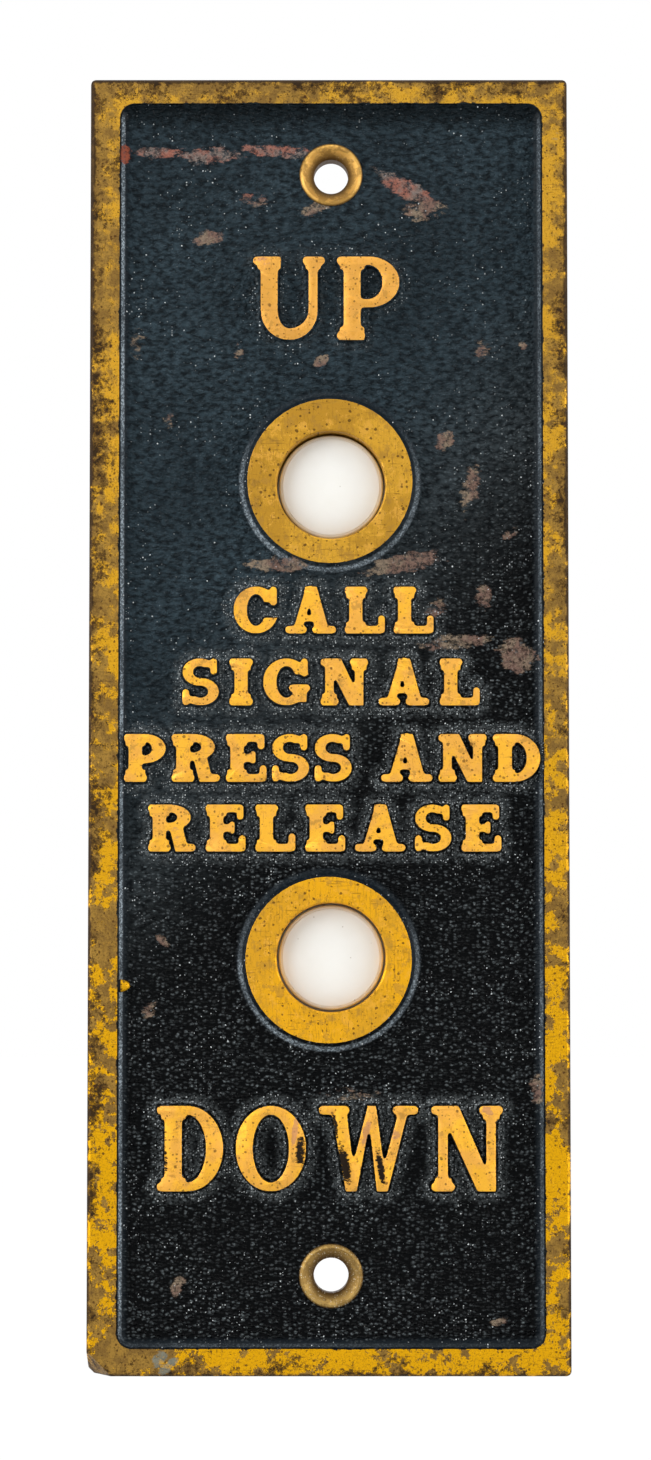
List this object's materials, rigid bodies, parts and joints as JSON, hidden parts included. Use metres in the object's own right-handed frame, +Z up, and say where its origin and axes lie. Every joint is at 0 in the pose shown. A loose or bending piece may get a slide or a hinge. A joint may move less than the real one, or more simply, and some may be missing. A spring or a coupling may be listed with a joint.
{
  "type": "elevator call button panel",
  "caption": "Cast brass wall plate with spring-return up and down push buttons in raised rings, and a bridging contact unit on its back.",
  "frame": {"origin": "on the wall plane, the back face of the plate's rim, midway between the wall screw holes", "axes": "+Z up the panel, +X to the right of someone facing it, -Y out of the wall towards them"},
  "size_m": [0.0773, 0.0467, 0.209],
  "materials": {
    "cast_brass": "sand cast, with the raised faces ground flat and dulled by age",
    "black_enamel": "blue-black baked enamel, pebbled like orange peel, chipped in places",
    "rolled_brass": "rolled sheet, lightly tarnished",
    "turned_brass": "turned, with fine tool rings",
    "spring_bronze": "rolled spring strip",
    "copper": "rolled copper, lightly tarnished",
    "contact_silver": "satin",
    "steel": "bright, lightly oiled",
    "spring_steel": "drawn wire",
    "porcelain": "white gloss glaze",
    "red_fibre": "vulcanised fibre board, satin",
    "ebonite": "turned hard rubber, satin"
  },
  "bodies": {
    "station": {"faceplate": "cast_brass", "guide_plate": "rolled_brass", "up_guide_bush": "turned_brass", "down_guide_bush": "turned_brass", "rear_spacers": "turned_brass", "contact_base": "red_fibre", "base_washers": "steel", "base_screws": "steel", "up_finger_left": "spring_bronze", "up_finger_right": "spring_bronze", "down_finger_left": "spring_bronze", "down_finger_right": "spring_bronze", "contact_tips": "contact_silver", "terminal_screws": "turned_brass", "terminal_washers": "rolled_brass", "terminal_nuts": "turned_brass", "common_link": "copper", "up_return_spring": "spring_steel", "down_return_spring": "spring_steel"},
    "up_button": {"up_button_cap": "porcelain", "up_plunger": "turned_brass", "up_insulating_bush": "ebonite", "up_contact_disc": "copper", "up_insulating_washer": "ebonite", "up_plunger_nut": "turned_brass"},
    "down_button": {"down_button_cap": "porcelain", "down_plunger": "turned_brass", "down_insulating_bush": "ebonite", "down_contact_disc": "copper", "down_insulating_washer": "ebonite", "down_plunger_nut": "turned_brass"}
  },
  "joints": [
    {"name": "up_press", "type": "slide", "parent": "station", "child": "up_button", "axis": [0, 1, 0], "range_m": [0, 0.003], "stiffness_N_per_m": 500, "springref_m": -0.003, "deforming": ["up_return_spring"]},
    {"name": "down_press", "type": "slide", "parent": "station", "child": "down_button", "axis": [0, 1, 0], "range_m": [0, 0.003], "stiffness_N_per_m": 500, "springref_m": -0.003, "deforming": ["down_return_spring"]}
  ]
}
